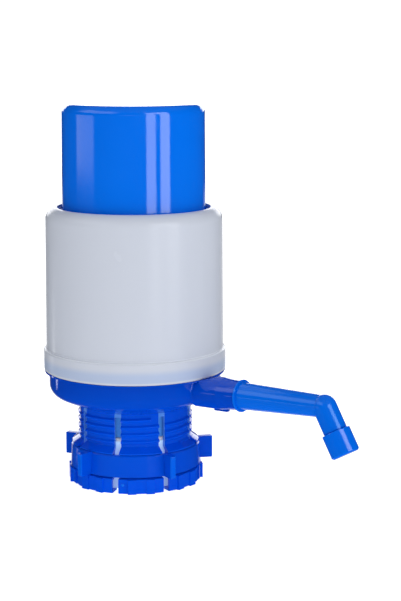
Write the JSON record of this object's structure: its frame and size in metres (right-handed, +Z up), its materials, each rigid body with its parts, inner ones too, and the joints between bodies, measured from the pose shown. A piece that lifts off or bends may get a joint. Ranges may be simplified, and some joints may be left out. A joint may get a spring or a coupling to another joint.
{
  "type": "water jug hand pump",
  "caption": "Hand pump for a large water bottle: a push cap works a bellows in a tall round casing, a ring nut clamps it on the bottle's neck, and water leaves through a bent spout.",
  "frame": {"origin": "on the pump's axis, in the plane of the finger tips that the pump stands on", "axes": "+Z up along the pump's axis, +X along the spout, +Y to the left of the spout"},
  "size_m": [0.215, 0.1104, 0.2285],
  "materials": {
    "blue_cap": "polished",
    "blue_base": "polished",
    "blue_spout": "polished",
    "white_shell": "satin",
    "inner_plastic": "satin",
    "pale_liner": "satin",
    "pale_gasket": "matte",
    "bellows_rubber": "matte",
    "seal_rubber": "matte",
    "spring_steel": "drawn",
    "screw_steel": "zinc plated"
  },
  "bodies": {
    "pump": {"casing": "white_shell", "base": "blue_base", "deck": "inner_plastic", "deck_o_ring": "seal_rubber", "check_valve_cage": "inner_plastic", "bellows_clamp_ring": "inner_plastic", "clamp_screws": "screw_steel", "air_bellows": "bellows_rubber", "return_spring": "spring_steel", "water_elbow": "inner_plastic", "elbow_o_ring": "seal_rubber", "tube_nipple": "inner_plastic", "neck_gasket": "pale_gasket", "neck_liner": "pale_liner", "neck_collet": "blue_base"},
    "plunger": {"push_cap": "blue_cap", "bellows_head": "inner_plastic", "inlet_valve_cage": "inner_plastic"},
    "inlet_disc": {"inlet_valve_disc": "seal_rubber"},
    "check_disc": {"check_valve_disc": "seal_rubber"},
    "nut": {"ring_nut": "blue_base"},
    "spout_tube": {"spout": "blue_spout", "spout_o_ring": "seal_rubber"},
    "hood": {"dust_cap": "blue_spout"}
  },
  "joints": [
    {"name": "cap_press", "type": "slide", "parent": "pump", "child": "plunger", "axis": [0, 0, -1], "range_m": [0, 0.048], "stiffness_N_per_m": 400, "springref_m": -0.01, "deforming": ["air_bellows", "return_spring"]},
    {"name": "inlet_valve_lift", "type": "slide", "parent": "plunger", "child": "inlet_disc", "axis": [0, 0, 1], "range_m": [0, 0.00145]},
    {"name": "check_valve_lift", "type": "slide", "parent": "pump", "child": "check_disc", "axis": [0, 0, 1], "range_m": [0, 0.00145]},
    {"name": "ring_nut_turn", "type": "hinge", "parent": "pump", "child": "nut", "pos_m": [0, 0, 0.0165], "axis": [0, 0, 1], "range_deg": [0, 720]},
    {"name": "spout_swivel", "type": "hinge", "parent": "pump", "child": "spout_tube", "pos_m": [0.07, 0, 0.06192], "axis": [0.9993, 0, 0.0366], "range_deg": [-90, 90]},
    {"name": "dust_cap_slide", "type": "slide", "parent": "spout_tube", "child": "hood", "axis": [0.5015, 0, -0.8652], "range_m": [0, 0.0135]}
  ]
}
